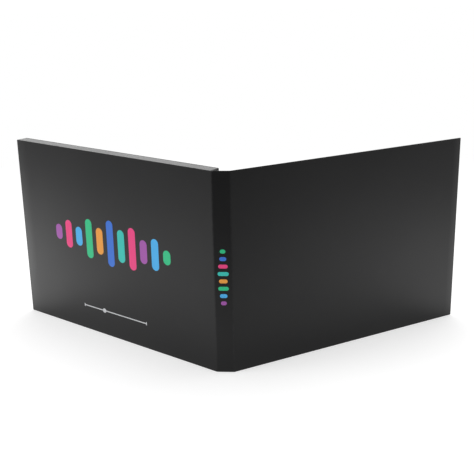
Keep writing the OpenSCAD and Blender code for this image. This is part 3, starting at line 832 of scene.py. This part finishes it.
class BROCHURE_OT_page(bpy.types.Operator):
    """Inner page with its screen window, button holes, lamp hole and speaker holes"""

    bl_idname = "brochure.page"
    bl_label = "Inner page"

    def execute(self, context):
        wrap, case = context.scene.brochure_wrap, context.scene.brochure_case
        low, high = CASE.span("inner_page")
        # Each cutter widens by the rim at the page's face
        levels = (low[1] - THROUGH, high[1] - case.rim, high[1], high[1] + THROUGH)
        wider = (0, 0, case.rim, case.rim)
        window = np.stack([outline(*window_span(), case.window_corner, -w) for w in wider])
        cutters = [loft(CASE.out(raised(window, levels, ON_CARD)))]
        holes = [(*CASE.middle(name + "_button")[::2], cap_radius() + BUTTON_GAP) for name in BUTTONS]
        holes.append((*CASE.middle("led_pipe")[::2], half_width("led_pipe") + STEM_GAP))
        holes += [(x, z, HOLE_D / 2) for x, z in speaker_holes()]
        cutters += [turned(CASE, (x, z), [(r + w, y) for w, y in zip(wider, levels)], 40)
                    for x, z, r in holes]
        page = slab(CASE, low, high, case.corner, 2 * SMALL_EDGE)
        settle("inner_page_card", CASE, cut_mesh("inner_page_card", page, cutters),
               card_finish("inner_page_card", wrap, CASE), ["inner_page"])
        return {"FINISHED"}


class BROCHURE_OT_screen(bpy.types.Operator):
    """Screen glass and the film over its picture area"""

    bl_idname = "brochure.screen"
    bl_label = "Screen"

    def execute(self, context):
        step = context.scene.brochure_case.film_step
        low, high = CASE.span("lcd_glass")
        glass_corner, glass_edge = 0.5 * MM, 0.15 * MM
        film_corner, film_edge, film_top = 0.3 * MM, 0.05 * MM, high[1] + 0.18 * MM
        glass = slab(CASE, low, high, glass_corner, glass_edge)
        add_piece("screen_glass", CASE, glass, glass_finish(), ["lcd_glass"])
        (x0, z0), (x1, z1) = window_span()
        film = slab(CASE, (x0 + step, high[1] - SUNK, z0 + step), (x1 - step, film_top, z1 - step),
                    film_corner, film_edge)
        add_piece("screen_film", CASE, film, film_finish())
        return {"FINISHED"}


def bar(x, y, width, height):
    """Upright rectangle about a point."""
    return [(x - width / 2, y - height / 2), (x + width / 2, y - height / 2),
            (x + width / 2, y + height / 2), (x - width / 2, y + height / 2)]


# Symbols as polygons in units of half their height, as the reader sees them
SYMBOLS = {
    "volume_down": [bar(0, 0, 1.7, 0.36)],
    "previous": [[(0.95, -0.8), (0.95, 0.8), (-0.1, 0)], [(-0.1, -0.8), (-0.1, 0.8), (-1.0, 0)],
                 bar(-1.1, 0, 0.2, 1.6)],
    "play": [[(-1.15, -0.95), (-1.15, 0.95), (0.25, 0)], bar(0.6, 0, 0.28, 1.7), bar(1.1, 0, 0.28, 1.7)],
    "next": [[(-0.95, -0.8), (-0.95, 0.8), (0.1, 0)], [(0.1, -0.8), (0.1, 0.8), (1.0, 0)],
             bar(1.1, 0, 0.2, 1.6)],
    "volume_up": [bar(-0.515, 0, 0.67, 0.36), bar(0, 0, 0.36, 1.7), bar(0.515, 0, 0.67, 0.36)],
}


class BROCHURE_OT_buttons(bpy.types.Operator):
    """Five button caps with turned tops, each with its symbol"""

    bl_idname = "brochure.buttons"
    bl_label = "Buttons"

    def execute(self, context):
        look = context.scene.brochure_buttons
        plastic, dark = cap_finish(look), symbol_finish(look)
        cap, stem = cap_radius(), STEM_D / 2
        rim_y = CASE.span("inner_page")[0][1] - RIM_GAP - RIM_T
        rim_top, soft, r = rim_y + RIM_T, SMALL_EDGE, look.fillet
        # Radius, half the width and depth of the groove in a cap's top, and the height of a symbol's ink
        groove, groove_w, groove_d, ink = cap - 1.15 * MM, 0.16 * MM, 0.07 * MM, 0.03 * MM
        for name in BUTTONS:
            node = name + "_button"
            low, high = CASE.span(node)
            foot, top = low[1], high[1]
            rim, middle = half_width(node), CASE.middle(node)[::2]
            place = Place(name, CASE.origin, CASE.turn)
            profile = [
                (AXIS_R, foot), (stem - 2 * soft, foot), (stem, foot + 2 * soft), (stem, rim_y),
                (rim - soft, rim_y), (rim, rim_y + soft), (rim, rim_top - soft), (rim - soft, rim_top),
                (cap, rim_top), *quarter((cap - r, top - r), r, 0, 7), (groove + groove_w, top),
                (groove + groove_w / 2, top - groove_d), (groove - groove_w / 2, top - groove_d),
                (groove - groove_w, top), (AXIS_R, top),
            ]
            shape = turned(place, middle, profile, 64)
            add_piece(name + "_cap", place, shape, plastic, [node])
            shapes = [prism(place, np.array(p) * look.symbol * (-1, 1) + middle, top - SUNK, top + ink)
                      for p in SYMBOLS[name]]
            add_piece(name + "_symbol", place, joined(shapes), dark)
        return {"FINISHED"}


class BROCHURE_OT_lamp(bpy.types.Operator):
    """Light pipe of the status lamp, with a domed end flush with the page"""

    bl_idname = "brochure.lamp"
    bl_label = "Lamp"

    def execute(self, context):
        low, high = CASE.span("led_pipe")
        r, dome = half_width("led_pipe"), 0.25 * MM
        profile = [(AXIS_R, low[1]), (r - SMALL_EDGE, low[1]), (r, low[1] + SMALL_EDGE)]
        profile += [(max(r * math.cos(t), AXIS_R), high[1] - dome + dome * math.sin(t))
                    for t in np.linspace(0, np.pi / 2, 7)]
        shape = turned(CASE, CASE.middle("led_pipe")[::2], profile, 32)
        add_piece("lamp_pipe", CASE, shape, inside_finish("lamp_plastic"), ["led_pipe"])
        return {"FINISHED"}


class BROCHURE_OT_socket(bpy.types.Operator):
    """Charging socket: a pressed shell with slanting lower sides, its tongue and five contacts"""

    bl_idname = "brochure.socket"
    bl_label = "Charging socket"

    def execute(self, context):
        low, high = CASE.span("usb_socket")
        mouth, end, middle = low[0], high[0], CASE.middle("usb_socket")
        wall, lip, flare, slant, bevel = SHELL_T, 0.08 * MM, 0.15 * MM, 1.0 * MM, 0.2 * MM

        def section(inset):
            """Outline of the shell: straight on the page's side, and drawn in at the two corners on the back
            cover's, a little less where the outline lies further in."""
            y0, y1, z0, z1 = low[1] + inset, high[1] - inset, low[2] + inset, high[2] - inset
            cut = slant - 0.4 * inset
            return np.array([(y0, z0 + cut), (y0 + cut, z0), (y1 - bevel, z0), (y1, z0 + bevel),
                             (y1, z1 - bevel), (y1 - bevel, z1), (y0 + cut, z1), (y0, z1 - cut)])

        # Inset and place along x, from outside the closed end round the mouth's lip to the bottom inside
        profile = np.array([(lip, end), (0, end - lip), (0, mouth + lip), (lip, mouth), (wall, mouth + flare),
                            (wall, end - 1.2 * wall), (0.7 * wall, end - 0.9 * wall)])
        rings = np.stack([section(inset) for inset in profile[:, 0]])
        shell = loft(CASE.out(raised(rings, profile[:, 1], IN_FORE_EDGE)))
        add_piece("socket_shell", CASE, shell, inside_finish("sheet_steel"), ["usb_socket"])
        # Tongue: where it starts, half its width and its two faces
        start, half, under, over = mouth + 0.7 * MM, 2.1 * MM, middle[1] - 0.1 * MM, middle[1] + 0.45 * MM
        corner, edge = 0.3 * MM, 0.08 * MM
        tongue = slab(CASE, (start, under, middle[2] - half), (end - wall, over, middle[2] + half), corner,
                      edge)
        add_piece("socket_tongue", CASE, tongue, inside_finish("chip_plastic"))
        # Contacts: where they start, half their width, their step, how proud they stand and how deep they sit
        start, half, pitch, proud, deep = mouth + 1.0 * MM, 0.15 * MM, 0.72 * MM, 0.08 * MM, 0.05 * MM
        corner, edge = 0.05 * MM, 0.03 * MM
        contacts = [slab(CASE, (start, under - proud, z - half), (end - wall, under + deep, z + half), corner,
                         edge, steps=3) for z in middle[2] + np.arange(-2, 3) * pitch]
        add_piece("socket_contacts", CASE, joined(contacts), inside_finish("magnet_nickel"))
        return {"FINISHED"}


class BROCHURE_OT_speaker(bpy.types.Operator):
    """Woven dust cloth behind the speaker's holes"""

    bl_idname = "brochure.speaker"
    bl_label = "Speaker cloth"

    def execute(self, context):
        soft, step, thick = 0.05 * MM, 2.2 * MM, 0.12 * MM
        radius = half_width("speaker_gasket") - step
        face = CASE.span("speaker_gasket")[1][1] - soft
        back, half = face - thick, face - thick / 2
        profile = [(AXIS_R, back), (radius - soft, back), (radius, half), (radius - soft, face),
                   (AXIS_R, face)]
        cloth = turned(CASE, CASE.middle("speaker_gasket")[::2], profile, 64)
        add_piece("dust_cloth", CASE, cloth, cloth_finish())
        return {"FINISHED"}


# Colour and share of the tallest height of each bar, from the fore edge to the spine
BARS = (("violet", 0.34), ("rose", 0.62), ("sky", 0.42), ("green", 0.86), ("orange", 0.58), ("blue", 1.0),
        ("teal", 0.7), ("rose", 0.9), ("violet", 0.5), ("sky", 0.66), ("green", 0.3))
# Colour and width in millimetres of the level meter's bars, from the bottom
LEVELS = (("violet", 4.2), ("sky", 5.4), ("green", 7.6), ("orange", 6.2), ("teal", 8.0), ("rose", 6.8),
          ("blue", 5.0), ("green", 4.0))
LEVEL_H = 3.0 * MM
# Thickness of the timeline, height of its end marks, diameter of its knob, and the knob's place as a share of
# its length from the middle
LINE_H = 0.9 * MM
MARK_H = 2.8 * MM
KNOB_D = 3.8 * MM
KNOB_AT = -0.17


class BROCHURE_OT_print(bpy.types.Operator):
    """Printed bars and timeline on the back cover, and the level meter on the spine"""

    bl_idname = "brochure.print"
    bl_label = "Print"

    def execute(self, context):
        art, ink = context.scene.brochure_print, context.scene.brochure_wrap.ink
        middle = CASE.middle("back_panel")[0]
        groups = {}

        def dash(place, color, x, z, width, height, face=0.0):
            """Rounded bar of ink about a point, a part of its thickness sunk into the card."""
            shape = slab(place, (x - width / 2, face, z - height / 2),
                         (x + width / 2, 1.3 * ink, z + height / 2), min(width, height) / 2, 0.3 * ink,
                         steps=12)
            groups.setdefault((place, color), []).append(shape)

        def row(count, pitch):
            """Evenly spaced places about 0."""
            return (np.arange(count) - (count - 1) / 2) * pitch

        for (color, share), x in zip(BARS, row(len(BARS), art.pitch)):
            dash(CASE, color, middle + x, art.middle, art.bar_w, share * art.bar_h)
        dash(CASE, "silver", middle, art.line_z, art.line_w, LINE_H, 0.4 * ink)
        dash(CASE, "silver", middle + KNOB_AT * art.line_w, art.line_z, KNOB_D, KNOB_D)
        for end in (-1, 1):
            dash(CASE, "silver", middle + end * art.line_w / 2, art.line_z, LINE_H, MARK_H)
        for (color, width), z in zip(LEVELS, row(len(LEVELS), art.meter_pitch)):
            dash(SPINE, color, 0, art.meter_z + z, width * MM, LEVEL_H)
        for (place, color), shapes in groups.items():
            finish = ink_finish(f"{color}_{place.body}", INKS[color], place)
            add_piece(f"print_{place.body}_{color}", place, joined(shapes), finish)
        return {"FINISHED"}


class BROCHURE_OT_inside(bpy.types.Operator):
    """Finishes for the CAD pieces that stay as they are"""

    bl_idname = "brochure.inside"
    bl_label = "Inside finishes"

    def execute(self, context):
        slots = {part["node"]: part["material_slot"] for part in frame["record"]["subparts"]}
        made = {}
        for name, node in sorted(frame["nodes"].items()):
            if node.hide_render:
                continue
            slot = slots[name]
            if slot not in made:
                made[slot] = inside_finish(slot)
            node.data.materials.clear()
            node.data.materials.append(made[slot])
        return {"FINISHED"}


# Stage


def add_lamp(name, at, toward, size, power):
    """Round soft lamp, tilted from straight down by the angle of its way to the point that it faces."""
    data = bpy.data.lights.new(name, "AREA")
    data.shape, data.size, data.energy = "DISK", size, power
    lamp = bpy.data.objects.new(name, data)
    bpy.context.scene.collection.objects.link(lamp)
    lamp.location = at
    way = np.array(toward, float) - at
    turn = math.atan2(way[1], way[0]) - math.pi / 2
    tilt = math.atan2(math.hypot(way[0], way[1]), -way[2])
    lamp.rotation_euler = (tilt, 0, turn)


def surroundings(strength):
    """Light tent: even light of the given strength on everything, white to the camera, and in reflections a
    ramp from dim at the front to bright at the back."""
    world = bpy.data.worlds.new("surroundings")
    world.use_nodes = True
    f = Nodes(world.node_tree)
    path = f.node("LightPath").outputs
    camera = path["Is Camera Ray"]
    seen = f.larger(f.larger(camera, path["Is Glossy Ray"]), path["Is Transmission Ray"])
    direction = f.node("SeparateXYZ", {0: f.node("TexCoord").outputs["Generated"]})
    tent = f.span(direction.outputs["Y"], -0.5, 0.4, 0.15, 1.25)
    even = f.tree.nodes["Background"]
    f.feed(even.inputs["Color"], WHITE)
    f.feed(even.inputs["Strength"], strength)
    shown = f.node("Background", {"Color": WHITE, "Strength": f.larger(tent, camera)})
    f.feed(f.tree.nodes["World Output"].inputs["Surface"], f.between(seen, even, shown).outputs[0])
    return world


# Degrees that the photograph's camera is pitched down, rolled, and turned toward the left
CAMERA_TURNS = (17.32, -1.167, 4.814)


def camera_matrix(at):
    """Camera's place and turn: right, up and ahead, pitched about X, rolled about the view, turned on Z."""
    pitch, roll, turn = (math.radians(a) for a in CAMERA_TURNS)
    right, up = np.array([1, 0, 0]), np.array([0, math.sin(pitch), math.cos(pitch)])
    ahead = np.array([0, math.cos(pitch), -math.sin(pitch)])
    across = math.cos(roll) * right + math.sin(roll) * up
    top = -math.sin(roll) * right + math.cos(roll) * up
    spin = np.array([[math.cos(turn), -math.sin(turn), 0], [math.sin(turn), math.cos(turn), 0], [0, 0, 1]])
    matrix = np.eye(4)
    matrix[:3, :3] = spin @ np.stack([across, top, -ahead], 1)
    matrix[:3, 3] = at
    return Matrix(matrix.tolist())


class BROCHURE_OT_stage(bpy.types.Operator):
    """Pale floor, soft lamps, white surroundings and the photograph's camera"""

    bl_idname = "brochure.stage"
    bl_label = "Stage"

    def execute(self, context):
        look, scene = context.scene.brochure_stage, context.scene
        side, level = look.floor / 2, -0.2 * MM
        mesh = bpy.data.meshes.new("floor")
        corners = [(-side, -side, level), (side, -side, level), (side, side, level), (-side, side, level)]
        mesh.from_pydata(corners, [], [(0, 1, 2, 3)])
        floor = bpy.data.objects.new("floor", mesh)
        scene.collection.objects.link(floor)
        mesh.materials.append(floor_finish())
        add_lamp("overhead", at=(0.15, 0.55, 1.6), toward=(0, 0.05, 0), size=1.6, power=look.key)
        add_lamp("left", at=(-1.3, -0.5, 0.9), toward=(0, 0, 0.05), size=1.2, power=look.fill)
        scene.world = surroundings(look.world)
        data = bpy.data.cameras.new("camera")
        data.lens, data.sensor_width, data.clip_start = look.lens, 36, 0.01
        camera = bpy.data.objects.new("camera", data)
        scene.collection.objects.link(camera)
        camera.matrix_world = camera_matrix(look.viewpoint)
        scene.camera = camera
        scene.view_settings.view_transform = "Standard"
        return {"FINISHED"}


# Add-on


OPERATORS = (
    BROCHURE_OT_wrap,
    BROCHURE_OT_linings,
    BROCHURE_OT_case,
    BROCHURE_OT_page,
    BROCHURE_OT_screen,
    BROCHURE_OT_buttons,
    BROCHURE_OT_lamp,
    BROCHURE_OT_socket,
    BROCHURE_OT_speaker,
    BROCHURE_OT_print,
    BROCHURE_OT_inside,
    BROCHURE_OT_stage,
)
SETTINGS = {
    "brochure_wrap": WrapSettings,
    "brochure_case": CaseSettings,
    "brochure_buttons": ButtonSettings,
    "brochure_print": PrintSettings,
    "brochure_stage": StageSettings,
}


class BROCHURE_PT_sidebar(bpy.types.Panel):
    """Lists the pieces of the brochure and their settings"""

    bl_idname = "BROCHURE_PT_sidebar"
    bl_label = "Video brochure"
    bl_space_type = "VIEW_3D"
    bl_region_type = "UI"
    bl_category = "Brochure"

    def draw(self, context):
        for operator in OPERATORS:
            self.layout.operator(operator.bl_idname)
        for name in SETTINGS:
            group = getattr(context.scene, name)
            box = self.layout.box()
            for key in group.bl_rna.properties.keys():
                if key not in ("rna_type", "name"):
                    box.prop(group, key)


def register():
    """Adds the settings, the operators and the panel."""
    for cls in (*SETTINGS.values(), *OPERATORS, BROCHURE_PT_sidebar):
        bpy.utils.register_class(cls)
    for name, cls in SETTINGS.items():
        setattr(bpy.types.Scene, name, PointerProperty(type=cls))


def unregister():
    """Takes out what register added, in the opposite order."""
    for name in SETTINGS:
        delattr(bpy.types.Scene, name)
    for cls in (BROCHURE_PT_sidebar, *reversed(OPERATORS), *reversed(SETTINGS.values())):
        bpy.utils.unregister_class(cls)


def main():
    """Makes every piece and the stage in order."""
    register()
    for operator in OPERATORS:
        group, name = operator.bl_idname.split(".")
        getattr(getattr(bpy.ops, group), name)()


if __name__ == "__main__":
    main()
